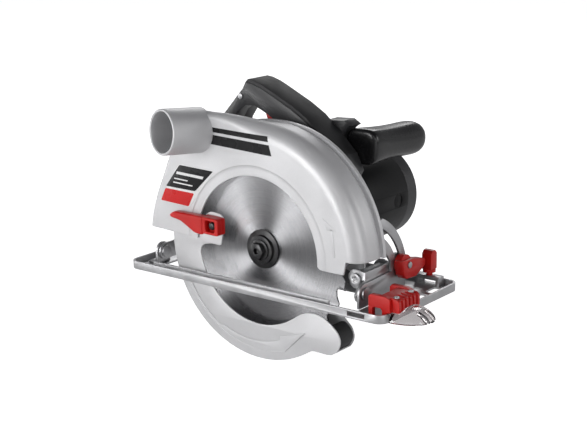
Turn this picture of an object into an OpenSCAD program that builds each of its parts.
// Hand-held circular saw with a tilting base plate, a swinging lower guard and a side-mounted motor.
// The origin is the middle of the sole, +X points to the front of the saw, +Y to the motor and +Z up.

/* [Blade] */
// Diameter over the carbide tips
blade_d = 190; // [188:1:192]
// Thickness of the blade's steel disc
blade_t = 1.8; // [1.4:0.1:2]
// Number of carbide tips
tip_count = 24; // [12:2:40]
// Diameter of the blade's bore
bore_d = 16; // [14:1:16]
// Height of the blade axle above the sole
axle_z = 37.5; // [37:0.5:39]
// Distance from the base's centre line to the blade plane, towards the near side
blade_offset = 35; // [34:0.5:36]

/* [Guards] */
// Radius of the round opening in the upper guard's face
guard_open_r = 70.9; // [69:0.5:72]
// Outer radius of the upper guard's rim
guard_r = 119; // [118:0.5:120]
// Wall thickness of the upper guard
guard_t = 2.5; // [2:0.1:2.5]
// Outer radius of the lower guard
lower_r = 104; // [102:0.5:104]
// Outer radius of the dust spout
spout_r = 21.5; // [21:0.1:22]
// Inner radius of the dust spout
spout_bore_r = 19; // [18:0.1:19.5]
// Length of the dust spout in front of the guard's face
spout_l = 36.8; // [30:0.5:38]

/* [Base] */
// Length of the base plate
base_l = 300; // [298:1:304]
// Width of the base plate
base_w = 126; // [124:1:128]
// Sheet thickness of the base plate
sheet_t = 2; // [1.6:0.1:2.2]
// Height of the base's upturned rim
lip_h = 7.8; // [7:0.1:8.5]
// Thickness of the pressed brackets
bracket_t = 2.5; // [2:0.1:2.5]
// Height of the bevel axis above the sole
bevel_z = 14.5; // [14:0.5:15]

/* [Drive] */
// Gear module
gear_m = 1; // [1:0.01:1]
// Teeth on the spindle gear
gear_teeth = 48; // [48:1:48]
// Teeth on the motor pinion
pinion_teeth = 12; // [12:1:12]
// Direction from the blade axle to the motor axis, in degrees above +X
motor_dir = 62; // [60:1:64]
// Outer radius of the motor housing
motor_r = 46; // [45:0.5:46]
// Distance of the motor's far end from the blade plane
motor_end = 168; // [166:1:172]

/* [Handles] */
// Distance of the main handle's middle from the blade plane
handle_y = 50; // [49:0.5:51]
// Width of the main handle
handle_w = 30; // [28:0.5:32]
// Angle that the grip slopes down to the front
grip_slope = 28; // [27:0.5:29]
// Length of the front handle
front_grip_l = 100; // [90:1:104]

/* [Hidden] */
axle_r = 8;                 // spindle journal
running = 0.05;             // radial clearance of a turning fit
cs = gear_m * (gear_teeth + pinion_teeth) / 2;
motor_x = cs * cos(motor_dir);
motor_z = cs * sin(motor_dir);
face_y = -14.5;             // flat face of the upper guard
back_y = 20;                // back of the upper guard's far wall
far_wall_y = back_y - guard_t;
case_y = 40;                // back of the gear case
housing_y = 44;             // front of the motor housing
cap_y = motor_end - 18;     // front of the motor's end cap
hinge_x = 100;              // depth hinge, along Y at the front
hinge_z = -13;
hinge_r = 6.25;
guide_r = 171;              // depth guide's slot, measured from the depth hinge
guide_dir = 172.5;          // direction of the depth bolt from the hinge at rest
bevel_drop = bevel_z - axle_z;
quad_x = 110;               // inner face of the bevel quadrant
bolt_r = 56;                // bevel bolt's distance from the bevel axis
bolt_dir = 15.5;            // its direction above +Y at rest
upstand_x = -132;
spout_foot = [-69.1, face_y, 106];
half_w = handle_w / 2;
fence_x = 122;
fence_y = 58;

function arc(cx, cy, r, a0, a1, n = 8) = [for (i = [0:n]) let (a = a0 + (a1 - a0) * i / n) [cx + r * cos(a), cy + r * sin(a)]];
function round_rect(x0, y0, x1, y1, r) = concat(
    arc(x1 - r, y1 - r, r, 0, 90), arc(x0 + r, y1 - r, r, 90, 180),
    arc(x0 + r, y0 + r, r, 180, 270), arc(x1 - r, y0 + r, r, 270, 360));
function shifted(points, dx, dy) = [for (p = points) [p[0] + dx, p[1] + dy]];
function reversed(points) = [for (i = [len(points) - 1:-1:0]) points[i]];
// A slot of half width w that follows radius r about the origin from a0 to a1
function arc_slot(r, w, a0, a1) = concat(
    arc(0, 0, r + w, a0, a1, 16), arc(r * cos(a1), r * sin(a1), w, a1, a1 + 180, 6),
    arc(0, 0, r - w, a1, a0, 16), arc(r * cos(a0), r * sin(a0), w, a0 + 180, a0 + 360, 6));

// The blade axle at rest
module at_axle() translate([0, -blade_offset, axle_z]) children();
// An outline in x and z, extruded from y0 to y1
module side_slab(y0, y1) translate([0, y1, 0]) rotate([90, 0, 0]) linear_extrude(y1 - y0) children();
// An outline in y and z, extruded from x0 to x1
module front_slab(x0, x1) translate([x0, 0, 0]) rotate([90, 0, 90]) linear_extrude(x1 - x0) children();
// A section in radius and y, turned about the Y axis
module turned() rotate([-90, 0, 0]) rotate_extrude($fn = 120) children();
module y_cyl(r, y0, y1, x = 0, z = 0) translate([x, y0, z]) rotate([-90, 0, 0]) cylinder(r = r, h = y1 - y0, $fn = 64);
module x_cyl(r, x0, x1, y = 0, z = 0) translate([x0, y, z]) rotate([0, 90, 0]) cylinder(r = r, h = x1 - x0, $fn = 48);
module y_ring(r1, r0, y0, y1, x = 0, z = 0) difference() {
    y_cyl(r1, y0, y1, x, z);
    y_cyl(r0, y0 - 1, y1 + 1, x, z);
}
module hex_y(r, y0, y1) translate([0, y0, 0]) rotate([-90, 0, 0]) cylinder(r = r, h = y1 - y0, $fn = 6);
// The spout's own axis: +Z runs out of the spout from the guard's face
module at_spout() translate(spout_foot) rotate([0, 0, -14.5]) rotate([86, 0, 0]) children();
// The grip's own frame: x along the grip to the front, z out of its top
module at_grip() translate([-17.5, handle_y, 115.8]) rotate([0, grip_slope, 0]) children();

// ---- base ----
module base_outline(inset) polygon(round_rect(-base_l / 2 + inset, -base_w / 2 + inset, base_l / 2 - inset, base_w / 2 - inset, 10 - inset));
blade_slot = [-126, -51, 113, -2];
module base_plate() color("silver") difference() {
    union() {
        difference() {
            linear_extrude(lip_h) base_outline(0);
            translate([0, 0, sheet_t]) linear_extrude(lip_h) base_outline(sheet_t);
        }
        translate([blade_slot[0], blade_slot[1] - sheet_t, 0]) cube([212, sheet_t, lip_h]);
        translate([blade_slot[0], blade_slot[3], 0]) cube([100, sheet_t, lip_h]);
        translate([30, blade_slot[3], 0]) cube([56, sheet_t, lip_h]);
    }
    translate([0, 0, -1]) linear_extrude(lip_h + 2) polygon(round_rect(blade_slot[0], blade_slot[1], blade_slot[2], blade_slot[3], 5));
    for (y = [9, 33]) translate([0, 0, -1]) linear_extrude(lip_h) polygon(round_rect(131, y, 145, y + 18, 3));
    translate([fence_x - 9, -base_w / 2 - 1, sheet_t]) cube([18, base_w + 2, 4.3]);
}
module fence_bridge() color("silver") difference() {
    translate([fence_x - 13, fence_y - 7, sheet_t]) cube([26, 9, 9]);
    translate([fence_x - 9.5, fence_y - 8, sheet_t - 1]) cube([19, 11, 6.5]);
    translate([fence_x, fence_y - 2.5, 0]) cylinder(r = 3, h = 20, $fn = 32);
}
module fence_knob() color("red") {
    translate([fence_x, fence_y - 2.5, 9]) cylinder(r = 3 - running, h = 9, $fn = 32);
    translate([fence_x, fence_y - 2.5, 14]) cylinder(r = 6, h = 3, $fn = 32);
    translate([fence_x - 5, fence_y - 7.5, 17]) rotate([90, 0, 90]) linear_extrude(10)
        polygon([[0, 0], [10, 0], [10, 15], [7, 18], [3, 18], [0, 15]]);
}
module at_bevel() translate([0, -blade_offset, bevel_z]) children();
module bevel_quadrant() color("silver") at_bevel() difference() {
    union() {
        translate([quad_x - 12, 37, sheet_t - bevel_z]) cube([13, 26, bracket_t]);
        front_slab(quad_x, quad_x + bracket_t) polygon(concat(
        [[-9, sheet_t - bevel_z], [64, sheet_t - bevel_z], [66, 10]],
        arc(0, 0, 68, 12, 66, 14), [[22.6, 60], [22.6, 42], [40, 20], [42, 10], [9, 9]], arc(0, 0, 9, 90, 180)));
    }
    front_slab(quad_x - 1, quad_x + bracket_t + 1) polygon(arc_slot(bolt_r, 3.4, bolt_dir - 2, bolt_dir + 46));
    x_cyl(3 + running, quad_x - 1, quad_x + bracket_t + 1);
}
module rear_upstand() color("silver") at_bevel() difference() {
    union() {
        front_slab(upstand_x, upstand_x + bracket_t) polygon(concat([[-9, sheet_t - bevel_z], [9, sheet_t - bevel_z]], arc(0, 0, 9, 0, 180)));
        translate([upstand_x - 10, -9, sheet_t - bevel_z]) cube([10, 18, bracket_t]);
    }
    x_cyl(3 + running, upstand_x - 1, upstand_x + bracket_t + 1);
}
module base_rivets() color("silver") {
    for (y = [-7, 7]) translate([upstand_x - 5, y * 0.7 - blade_offset, sheet_t + bracket_t]) cylinder(r = 2.4, h = 1.2, $fn = 24);
    for (y = [7, 23]) translate([quad_x - 7, y, sheet_t + bracket_t]) cylinder(r = 2.4, h = 1.2, $fn = 24);
}
module indicator_frame() color("red") difference() {
    union() {
        translate([129, -54, sheet_t]) cube([19, 38, 20.5]);
        translate([147, -51, 8.5]) cube([12, 33, 12]);
    }
    translate([133, -60, 0]) cube([10, 50, 12]);
    translate([126, -49, 8]) cube([12, 28, 20]);
    for (i = [0:4]) translate([157.5, -48 + i * 6, 10]) cube([3, 2.4, 8]);
}
// A clear fan in front of the frame, with two notches to sight the cut through
module sight_window() color([1, 0.8, 0.8, 0.5]) difference() {
    translate([151.5, -34.5, 1]) intersection() {
        scale([30.5, 22, 11.5]) sphere(r = 1, $fn = 48);
        translate([0, -23, 0]) cube([32, 46, 12]);
    }
    translate([150, -60, 8.4]) cube([9.2, 50, 6]);
    for (y = [-41, -30]) translate([170, y, 0]) cube([14, 3, 13]);
    translate([151.5, -34.5, -1]) intersection() {
        scale([27.5, 19, 10.5]) sphere(r = 1, $fn = 48);
        translate([1.5, -23, 0]) cube([32, 46, 12]);
    }
}
module indicator_screws() color("silver") for (y = [-46, -24]) translate([153, y, 20.5]) cylinder(r = 2.6, h = 1.5, $fn = 24);

// ---- tilting frame ----
module front_bracket() color("silver") at_axle() difference() {
    union() {
        front_slab(quad_x - 0.6 - bracket_t, quad_x - 0.6) polygon(concat(
            [[-9, bevel_drop]], arc(0, bevel_drop, 9, 180, 270), [[50, -32], [63, -20], [64, -8]],
            arc(54, -8, 9, 10, 120), [[46, -6], [4.5, -6], [4.5, -13], [0, -14]]));
        for (y = [4.5, 44]) side_slab(y, y + bracket_t) polygon(concat(
            [[quad_x - 1, -21], [quad_x - 1, -6], [hinge_x, hinge_z + 9]], arc(hinge_x, hinge_z, 9, 90, 270)));
    }
    y_cyl(3 + running, 0, 60, hinge_x, hinge_z);
    x_cyl(3, quad_x - 10, quad_x + 1, 0, bevel_drop);
    x_cyl(3, quad_x - 10, quad_x + 1, bolt_r * cos(bolt_dir), bevel_drop + bolt_r * sin(bolt_dir));
}
module depth_guide() color("silver") at_axle() difference() {
    union() {
        front_slab(upstand_x + bracket_t + 0.6, upstand_x + 2 * bracket_t + 0.6) polygon(concat(
            [[24, bevel_drop - 8], [24, bevel_drop + 8]], arc(0, bevel_drop, 8, 90, 270)));
        side_slab(21.5, 24) polygon(concat(
            shifted(arc(0, 0, guide_r + 11, 138, 178, 20), hinge_x, hinge_z),
            [[-95, bevel_drop + 8], [upstand_x + bracket_t + 0.6, bevel_drop + 8],
             [upstand_x + bracket_t + 0.6, bevel_drop - 8], [-62, bevel_drop - 8]],
            shifted(arc(0, 0, guide_r - 11, 180, 138, 20), hinge_x, hinge_z)));
    }
    side_slab(20, 26) polygon(shifted(arc_slot(guide_r, 3.4, guide_dir - 31, guide_dir + 5), hinge_x, hinge_z));
    x_cyl(3, upstand_x, upstand_x + 8, 0, bevel_drop);
}
module bevel_pins() color("silver") at_axle() {
    x_cyl(3, quad_x - 3, quad_x + bracket_t + 1, 0, bevel_drop);
    x_cyl(6, quad_x + bracket_t + 0.4, quad_x + bracket_t + 2.4, 0, bevel_drop);
    x_cyl(3, upstand_x - 1, upstand_x + 2 * bracket_t + 0.6, 0, bevel_drop);
    x_cyl(6, upstand_x + 2 * bracket_t + 0.6, upstand_x + 2 * bracket_t + 2.8, 0, bevel_drop);
}
module depth_hinge_pin() color("silver") at_axle() difference() {
    union() {
        y_cyl(3, 3, 47, hinge_x, hinge_z);
        y_cyl(5.5, 2, 4.5, hinge_x, hinge_z);
        y_cyl(5, 46.5, 47.8, hinge_x, hinge_z);
    }
    for (a = [0, 90]) translate([hinge_x, 2, hinge_z]) rotate([0, a + 20, 0]) cube([6, 2, 1.2], center = true);
}
module at_bevel_bolt() translate([0, bolt_r * cos(bolt_dir), bevel_drop + bolt_r * sin(bolt_dir)]) children();
module bevel_bolt() color("silver") at_axle() at_bevel_bolt() {
    x_cyl(3, quad_x - 4, quad_x + 15);
    x_cyl(6, quad_x - 5.5, quad_x - 0.6 - bracket_t);
}
module bevel_knob() color("red") at_axle() at_bevel_bolt() difference() {
    union() {
        x_cyl(9, quad_x + bracket_t + 0.4, quad_x + 10);
        front_slab(quad_x + 5, quad_x + 14) polygon([[-11, 5.5], [-9, -8], [-5, -12], [11, -13], [26, -6], [26.5, -2], [25, 0.5], [7, 4.5]]);
    }
    x_cyl(3 + running, quad_x, quad_x + 30);
}

// ---- head: guard and gear case ----
guard_edge = 15;
module guard_section() polygon(concat(
    [[guard_open_r, face_y + guard_t], [guard_open_r, face_y + 0.7], [80, face_y + 0.7], [80.7, face_y]],
    arc(guard_r - guard_edge, face_y + guard_edge, guard_edge, -90, 0, 10),
    [[guard_r, 14], [guard_r - 1, 14.3], [guard_r - 1, 16], [guard_r + 3, 16.3], [guard_r + 3, back_y],
     [21 + running, back_y], [21 + running, far_wall_y], [guard_r - guard_t, far_wall_y]],
    arc(guard_r - guard_edge, face_y + guard_edge, guard_edge - guard_t, 0, -90, 10)));
guard_outline = [[-140, 5.2], [-77.6, 2.3], [-60, 2], [-38, -14], [-30, -38], [14, -38], [36, -26], [60, -5.2], [99.7, -4.9],
    [101.5, 4.4], [107.9, 6.9], [140, 6.9], [140, 140], [-140, 140]];
rear_edge = [[-88, 77], [-94, 70], [-108, 69.5], [-119, 44], [-127, 22], [-131.4, 5.3], [-100, 3.45]];
module upper_guard() color("silver") at_axle() difference() {
    union() {
        intersection() {
            turned() guard_section();
            side_slab(-20, 30) polygon(guard_outline);
        }
        difference() {
            side_slab(-11, far_wall_y) polygon(rear_edge);
            y_cyl(guard_r - guard_t - 0.5, -30, 30);
        }
        difference() {
            side_slab(face_y, face_y + guard_t) polygon(rear_edge);
            y_cyl(guard_r - guard_edge - 1, -30, 30);
        }
        side_slab(far_wall_y, back_y) polygon([[94, -14], [99, -14], [99, 0], [84, 0], [84, -6]]);
    }
    y_cyl(hinge_r, 0, 60, hinge_x, hinge_z);
    at_spout() translate([0, 0, -30]) cylinder(r = spout_r, h = 46, $fn = 64);
    y_cyl(3, 10, 30, hinge_x + guide_r * cos(guide_dir), hinge_z + guide_r * sin(guide_dir));
    case_bolts() y_cyl(1.8, 10, 30);
}
// The tube that the depth hinge pin turns in, fixed to the guard's far wall
module hinge_sleeve() color("silver") at_axle() difference() {
    y_cyl(hinge_r, 7.5, 43.5, hinge_x, hinge_z);
    y_cyl(3 + running, 0, 60, hinge_x, hinge_z);
}
module dust_spout() color("silver") at_axle() difference() {
    union() {
        at_spout() translate([0, 0, -23]) cylinder(r = spout_r, h = 23 + spout_l, $fn = 64);
        side_slab(face_y + 6, 14) polygon([[-98, 72], [-104, 92], [-97, 114], [-80, 126], [-52, 127], [-44, 112]]);
    }
    at_spout() translate([0, 0, -24]) cylinder(r = spout_bore_r, h = 80, $fn = 64);
    y_cyl(lower_r + 2, -30, 30);
    difference() {
        y_cyl(guard_r + 0.05, -30, 30);
        at_spout() translate([0, 0, -24]) cylinder(r = spout_r, h = 80, $fn = 64);
    }
}
// A thin printed plate on the guard's face, with generic colour fields only
module label_plate() color("black") at_axle() side_slab(face_y - 0.4, face_y) polygon([[-90.8, 71.5], [-49, 69.6], [-79.5, 31.5], [-116.8, 32.8]]);
case_bolt_r = 43.3;         // case screws, measured from the motor axis
module case_bolts() for (a = [-35, 20, 100, 175])
    translate([motor_x + case_bolt_r * cos(a), 0, motor_z + case_bolt_r * sin(a)]) children();
module case_outline(spindle_lobe, motor_lobe) {
    circle(r = spindle_lobe, $fn = 96);
    translate([motor_x, motor_z]) circle(r = motor_lobe, $fn = 96);
}
module gear_case() color("dimgray") at_axle() difference() {
    union() {
        side_slab(back_y, case_y) case_outline(28, motor_r + 1);
        y_cyl(21, 8, back_y);
    }
    side_slab(back_y + 3, case_y + 1) case_outline(25.6, 39.5);
    y_cyl(16, 10, back_y + 4);
    y_cyl(12, 0, back_y + 4);
    y_ring(30, 19.5, 8.6, 9.8);
    x_cyl(3 + running, -50, -20, 31);
    case_bolts() y_cyl(1.8, 10, 30);
}
module bearing_plate() color("dimgray") at_axle() difference() {
    side_slab(case_y, housing_y) case_outline(28, motor_r + 1);
    y_cyl(9, case_y - 1, housing_y + 1);
    y_cyl(11, case_y - 1, housing_y + 1, motor_x, motor_z);
}
// Screws of the gear case, and of the motor's end cap
module case_screws() color("silver") at_axle() {
    case_bolts() {
        y_cyl(1.8, far_wall_y, 28);
        y_cyl(3.4, far_wall_y - 1.8, far_wall_y);
    }
    cap_bolts();
}
module spindle_bearings() color("silver") at_axle() {
    y_ring(16, axle_r + 0.5 + running, 10, 19);
    y_ring(9, 6 + running, case_y, housing_y);
}
module guard_circlip() color("gray") at_axle() y_ring(23, 19.5, 8.6, 9.4);
module guard_spring() color("gray") at_axle() for (y = [13.2, 14.7, 16.2])
    translate([0, y, 0]) rotate([90, 0, 0]) rotate_extrude($fn = 64) translate([24.5, 0]) circle(r = 0.6, $fn = 16);
module at_depth_bolt() translate([hinge_x + guide_r * cos(guide_dir), 0, hinge_z + guide_r * sin(guide_dir)]) children();
module depth_bolt() color("silver") at_axle() at_depth_bolt() {
    y_cyl(3, far_wall_y, 36);
    y_cyl(5.5, far_wall_y - 2, far_wall_y);
}
module depth_lever() color("red") at_axle() at_depth_bolt() difference() {
    union() {
        y_cyl(8, 24.4, 34);
        side_slab(28, 34) polygon([[-7, 3], [5, 5], [-6, 48], [-16, 46]]);
    }
    y_cyl(3 + running, 20, 40);
}

// ---- head: motor ----
module at_motor() translate([motor_x, 0, motor_z]) children();
module motor_housing() color("black") at_axle() at_motor() difference() {
    y_cyl(motor_r, housing_y, cap_y);
    y_cyl(motor_r - 3, housing_y - 1, cap_y + 1);
    x_cyl(7, -60, 60, 132);
}
module motor_end_cap() color("dimgray") at_axle() at_motor() difference() {
    union() {
        y_cyl(motor_r, cap_y, motor_end - 3);
        y_cyl(motor_r - 3, motor_end - 3, motor_end);
    }
    y_ring(motor_r - 3, 13, cap_y - 1, motor_end - 4);
    y_cyl(11, cap_y - 1, motor_end - 6);
    for (i = [0:11]) rotate([0, i * 30, 0]) translate([20, motor_end - 8, -2]) cube([18, 20, 4]);
}
cap_bolt_r = 39.5;          // end cap screws, measured from the motor axis
module cap_bolts() at_motor() for (a = [45:90:315]) rotate([0, a, 0]) y_cyl(3.2, motor_end, motor_end + 1.2, cap_bolt_r, 0);
module motor_bearings() color("silver") at_axle() at_motor() {
    y_ring(11, 4 + running, case_y, housing_y);
    y_ring(11, 4 + running, motor_end - 13, motor_end - 6);
}
module stator_core() color("gray") at_axle() at_motor() y_ring(motor_r - 3, 26, 72, 112);
module field_windings() color("chocolate") at_axle() at_motor() for (y = [64, 112]) y_ring(40, 29, y, y + 8);
module brush_row() for (s = [0, 1]) mirror([s, 0, 0]) children();
module brush_holders() color("goldenrod") at_axle() at_motor() brush_row() difference() {
    translate([17, 127, -6]) cube([22, 10, 12]);
    translate([16, 129, -4]) cube([24, 6, 8]);
}
module carbon_brushes() color("black") at_axle() at_motor() brush_row() translate([14.3, 129, -4]) cube([18, 6, 8]);
module brush_caps() color("black") at_axle() at_motor() brush_row() x_cyl(7, 40, motor_r - 0.5, 132);
module armature_shaft() color("silver") at_axle() at_motor() {
    side_slab(25, 35) rotate(gear_phase) gear_outline(pinion_teeth);
    y_cyl(4, 24, motor_end - 6.5);
    y_cyl(5.5, housing_y + 0.5, motor_end - 13.5);
}
module armature_core() color("gray") at_axle() at_motor() difference() {
    y_cyl(25.5, 72, 112);
    y_cyl(5.5, 70, 114);
    for (i = [0:11]) rotate([0, i * 30, 0]) translate([21, 71, -1.2]) cube([6, 42, 2.4]);
}
module commutator() color("chocolate") at_axle() at_motor() y_ring(14, 5.5, 124, 140);
module cooling_fan() color("black") at_axle() at_motor() {
    y_ring(38, 5.5, 48, 50);
    for (i = [0:11]) rotate([0, i * 30, 0]) translate([16, 50, -0.8]) cube([21, 9, 1.6]);
}

// ---- head: handles ----
top_line = [[-48.5, 146.3], [-45.5, 149.3], [-38.5, 148.5], [-28.5, 145.3], [-17.5, 140.3], [7.5, 128.3], [23.5, 118.8], [42.5, 102.3], [58.5, 86.3]];
handle_outline = concat([[-99.5, 82.3], [-91.5, 98.3], [-74.5, 115.3], [-51.5, 140.3]], top_line,
    [[66.5, 70.3], [58.5, 56.3], [42.5, 43.3], [-27.5, 43.3], [-57.5, 60.3], [-95.5, 72.3]]);
grip_window = [[-69.5, 94.3], [-64.5, 108.3], [-57.5, 118.3], [-48.5, 124.3], [-37.5, 124.8], [-21.5, 117.8], [-3.5, 107.3], [12.5, 95.3], [23.5, 84.3], [12.5, 79.3], [-27.5, 78.3], [-59.5, 82.3]];
soft_strip = concat(top_line, reversed(shifted(top_line, -1.9, -3.6)));
module handle_half(y0, y1) difference() {
    side_slab(y0, y1) difference() {
        polygon(handle_outline);
        polygon(grip_window);
        polygon(soft_strip);
    }
    y_cyl(motor_r + 1.1, 0, 100, motor_x, motor_z);
    x_cyl(4.9, -110, -88, handle_y, 77);
    x_cyl(7.1, -120, -98, handle_y, 77);
    side_slab(handle_y - half_w + 3, handle_y + half_w - 3) polygon([[-87.5, 82.3], [-73.5, 102.3], [-67.5, 82.3], [-57.5, 74.3], [-37.5, 74.3], [-59.5, 66.3]]);
    at_grip() {
        translate([-20, -half_w + 3, 3]) cube([54, handle_w - 6, 13]);
        translate([-16, -8.3, -8]) cube([34, 16.6, 12]);
    }
}
module handle_shell_near() color("dimgray") at_axle() handle_half(handle_y - half_w, handle_y);
module handle_shell_far() color("dimgray") at_axle() difference() {
    handle_half(handle_y, handle_y + half_w);
    at_grip() translate([26, 0, 9.5]) rotate([-90, 0, 0]) cylinder(r = 4 + running, h = 40, $fn = 32);
}
module soft_grip() color("black") at_axle() side_slab(handle_y - half_w, handle_y + half_w) polygon(soft_strip);
module handle_screws() color("silver") at_axle() for (p = [[-79.5, 102.3], [-54.5, 132.3], [34.5, 98.3], [-47.5, 64.3], [50.5, 70.3]])
    y_cyl(2.6, handle_y - half_w - 1, handle_y - half_w, p[0], p[1]);
module switch_body() color("black") at_axle() at_grip() translate([-12, -7, 8.2]) cube([30, 14, 7.6]);
module trigger() color("red") at_axle() at_grip() translate([0, 8, 0]) rotate([90, 0, 0]) linear_extrude(16)
    polygon([[-14, 2.4], [-13, -4], [-8, -8.5], [2, -9], [10, -6], [16, -3], [16.5, 2.4]]);
module lock_off_button() color("red") at_axle() at_grip() translate([26, 0, 9.5]) rotate([-90, 0, 0]) union() {
    translate([0, 0, 7]) cylinder(r = 4, h = half_w - 4, $fn = 32);
    translate([0, 0, 6]) cylinder(r = 5.5, h = 1.5, $fn = 32);
}
module cord_gland() color("black") at_axle() translate([-98, handle_y, 77]) rotate([0, -90, 0]) difference() {
    union() {
        translate([0, 0, -6]) cylinder(r = 4.9, h = 10, $fn = 32);
        cylinder(r = 7, h = 3, $fn = 32);
        translate([0, 0, 3]) cylinder(r = 5.6, h = 9, $fn = 32);
    }
    translate([0, 0, -10]) cylinder(r = 4, h = 30, $fn = 32);
}
front_grip_r = 17.5;
module at_front_grip() translate([61, 66.5, 91]) rotate([-93.5, 0, 2]) children();
// The grip's inner bar and the neck that joins it to the main handle
module front_grip_core() {
    at_front_grip() translate([0, 0, 3.5]) cylinder(r = 9, h = front_grip_l - 24, $fn = 48);
    side_slab(70, 80) polygon([[38, 84], [61, 84], [61, 99], [38, 99]]);
}
module front_handle_bracket() color("dimgray") at_axle() union() {
    difference() {
        side_slab(handle_y + half_w, 82) polygon([[14, 84], [14, 102], [24, 113], [44, 114], [54, 108], [57, 98], [56, 80], [44, 72], [24, 76]]);
        at_front_grip() translate([0, 0, -10]) cylinder(r = front_grip_r + 3.8, h = 60, $fn = 64);
    }
    front_grip_core();
}
module front_handle() color("black") at_axle() difference() {
    at_front_grip() rotate_extrude($fn = 64) polygon(concat(
        [[0, 0], [front_grip_r - 1.5, 0], [front_grip_r, 1.5]], [for (i = [0:6]) [front_grip_r + 3.2 * sin(i * 30), 8 + i * 10]],
        arc(0, front_grip_l - front_grip_r + 1, front_grip_r - 1, 10, 90, 8)));
    front_grip_core();
}

// ---- blade set ----
tip_r = blade_d / 2;
blade_outline = [for (i = [0:tip_count - 1]) let (a = -i * 360 / tip_count, s = 360 / tip_count)
    for (p = [[tip_r - 1, 0], [tip_r - 8.5, -0.3], [tip_r - 9, -0.16 * s], [tip_r - 7, -0.4 * s], [tip_r - 2.2, -0.62 * s], [tip_r - 1.6, -0.97 * s]])
        [p[0] * cos(a + p[1]), p[0] * sin(a + p[1])]];
module tips() for (i = [0:tip_count - 1])
    rotate([0, i * 360 / tip_count, 0]) translate([tip_r - 7, -1.3, 0]) cube([7, 2.6, 1.9]);
module blade() color("lightgray") at_axle() difference() {
    side_slab(-blade_t / 2, blade_t / 2) difference() {
        polygon(blade_outline);
        circle(r = bore_d / 2, $fn = 64);
    }
    tips();
}
module carbide_tips() color("gray") at_axle() tips();
module inner_flange() color("dimgray") at_axle() y_ring(18.6, axle_r, blade_t / 2, 4.5);
module outer_flange() color("dimgray") at_axle() difference() {
    union() {
        y_cyl(18.6, -3.6, -blade_t / 2);
        y_cyl(13.5, -7, -3.6);
    }
    y_cyl(4, -8, 0);
}
module blade_bolt() color("dimgray") at_axle() difference() {
    union() {
        hex_y(8.1, -13.5, -8.6);
        y_cyl(10, -8.6, -7);
        y_cyl(4, -7, 18);
    }
    hex_y(3, -14, -9.5);
}
module spindle() color("silver") at_axle() difference() {
    union() {
        y_cyl(axle_r, -blade_t / 2, 4.5);
        y_cyl(axle_r + 0.5, 4.5, 36);
        y_cyl(6, 36, housing_y - 0.5);
    }
    y_cyl(4, -5, 18);
}
gear_phase = motor_dir + 180 + 180 / pinion_teeth;
// Involute gear outline with a little backlash and a shortened tip
function involute(rb, r) = rb >= r ? 0 : let (t = sqrt(r * r / rb / rb - 1)) t * 180 / PI - atan(t);
module gear_outline(teeth) {
    rp = gear_m * teeth / 2;
    rb = rp * cos(20);
    ra = rp + 0.8 * gear_m;
    rf = rp - 1.15 * gear_m;
    half = 90 / teeth + involute(rb, rp) - 0.09 / rp * 180 / PI;
    radii = [rf, max(rf, rb), rp - 0.3 * gear_m, rp + 0.25 * gear_m, ra];
    polygon([for (i = [0:teeth - 1]) let (c = i * 360 / teeth) for (k = [0:9])
        let (r = radii[k < 5 ? k : 9 - k], w = half - involute(rb, r), a = c + (k < 5 ? -w : w)) [r * cos(a), r * sin(a)]]);
}
module spindle_gear() color("gray") at_axle() side_slab(25, 35) difference() {
    rotate(motor_dir) gear_outline(gear_teeth);
    circle(r = axle_r + 0.5, $fn = 64);
}

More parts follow.
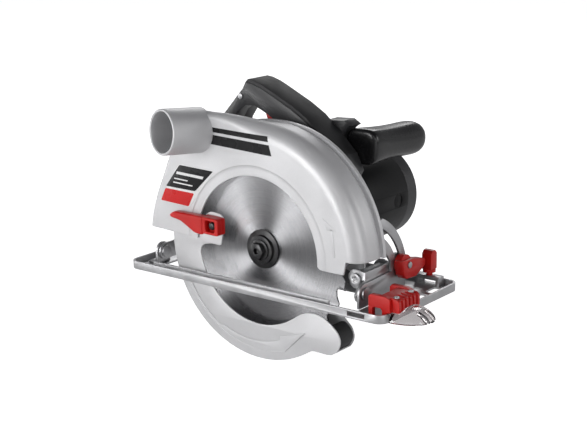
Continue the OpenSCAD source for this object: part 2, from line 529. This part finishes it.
// ---- lower guard ----
near_y = -11.6;
wall = 1.4;
lower_in = 68.3;
nose = [[63.5, -84], [75.9, -81.6], [92, -76.9], [96.5, -71], [96.1, -64.7], [85.6, -53.2], [76, -48.5], [66.8, -47.8]];
function swing(a0, a1, r, n = 24) = arc(0, 0, r, a0, a1, n);
module near_wall_outline() polygon(concat(
    swing(-184, -54, lower_r), nose, swing(-50, -172, lower_in + 2), [[-70.4, -5], [-67, -4.9]], [[-67, 2], [-78, 8]]));
module far_wall_outline() difference() {
    union() {
        polygon(concat(swing(-184, -54, lower_r), nose, swing(-36, 100, 27), [[-40, 20]]));
        circle(r = 27, $fn = 64);
    }
    circle(r = 21 + running, $fn = 96);
}
module lower_guard() color("silver") at_axle() union() {
    side_slab(near_y, near_y + wall) near_wall_outline();
    side_slab(near_y, near_y + wall) polygon([[-76, -7], [-67, -4.9], [-55.6, -0.6], [-47.6, -1.8], [-40.4, 22.2], [-45.1, 25.3], [-58, 24], [-80, 9]]);
    side_slab(9.9, 11.3) far_wall_outline();
    side_slab(near_y, 11.3) polygon(concat(swing(-184, -54, lower_r), [[63.5, -84], [75.9, -81.6], [92, -76.9], [91.6, -75.4], [75.6, -79.9], [62.5, -82.2]],
        reversed(swing(-184, -54, lower_r - wall))));
}
module guard_lever() color("red") at_axle() difference() {
    union() {
        side_slab(-23, near_y) polygon([[-59, 11], [-37.5, 10], [-37.5, 26], [-60, 26.8]]);
        side_slab(-24, -15.2) polygon([[-59, 8.2], [-66, 9.5], [-74, 14], [-84, 19], [-96, 20.8], [-98, 22.6], [-92, 27], [-59, 26.8]]);
    }
    y_cyl(2, -30, -10, -47, 17);
}
module lever_screw() color("silver") at_axle() translate([-47, 0, 17]) {
    y_cyl(2, -23, near_y);
    y_cyl(4, -25, -23);
}
module spindle_lock() color("gray") at_axle() {
    x_cyl(3, -42, -29.3, 31);
    x_cyl(6, -44, -40, 31);
}

base_plate();
bevel_quadrant();
rear_upstand();
base_rivets();
fence_bridge();
indicator_frame();
sight_window();
indicator_screws();
fence_knob();
front_bracket();
depth_guide();
bevel_pins();
depth_hinge_pin();
bevel_bolt();
upper_guard();
hinge_sleeve();
dust_spout();
label_plate();
gear_case();
bearing_plate();
case_screws();
spindle_bearings();
guard_circlip();
guard_spring();
depth_bolt();
motor_housing();
motor_end_cap();
motor_bearings();
stator_core();
field_windings();
brush_holders();
carbon_brushes();
brush_caps();
handle_shell_near();
handle_shell_far();
soft_grip();
handle_screws();
switch_body();
cord_gland();
front_handle_bracket();
front_handle();
blade();
carbide_tips();
inner_flange();
outer_flange();
blade_bolt();
spindle();
spindle_gear();
armature_shaft();
armature_core();
commutator();
cooling_fan();
lower_guard();
guard_lever();
lever_screw();
trigger();
lock_off_button();
spindle_lock();
depth_lever();
bevel_knob();
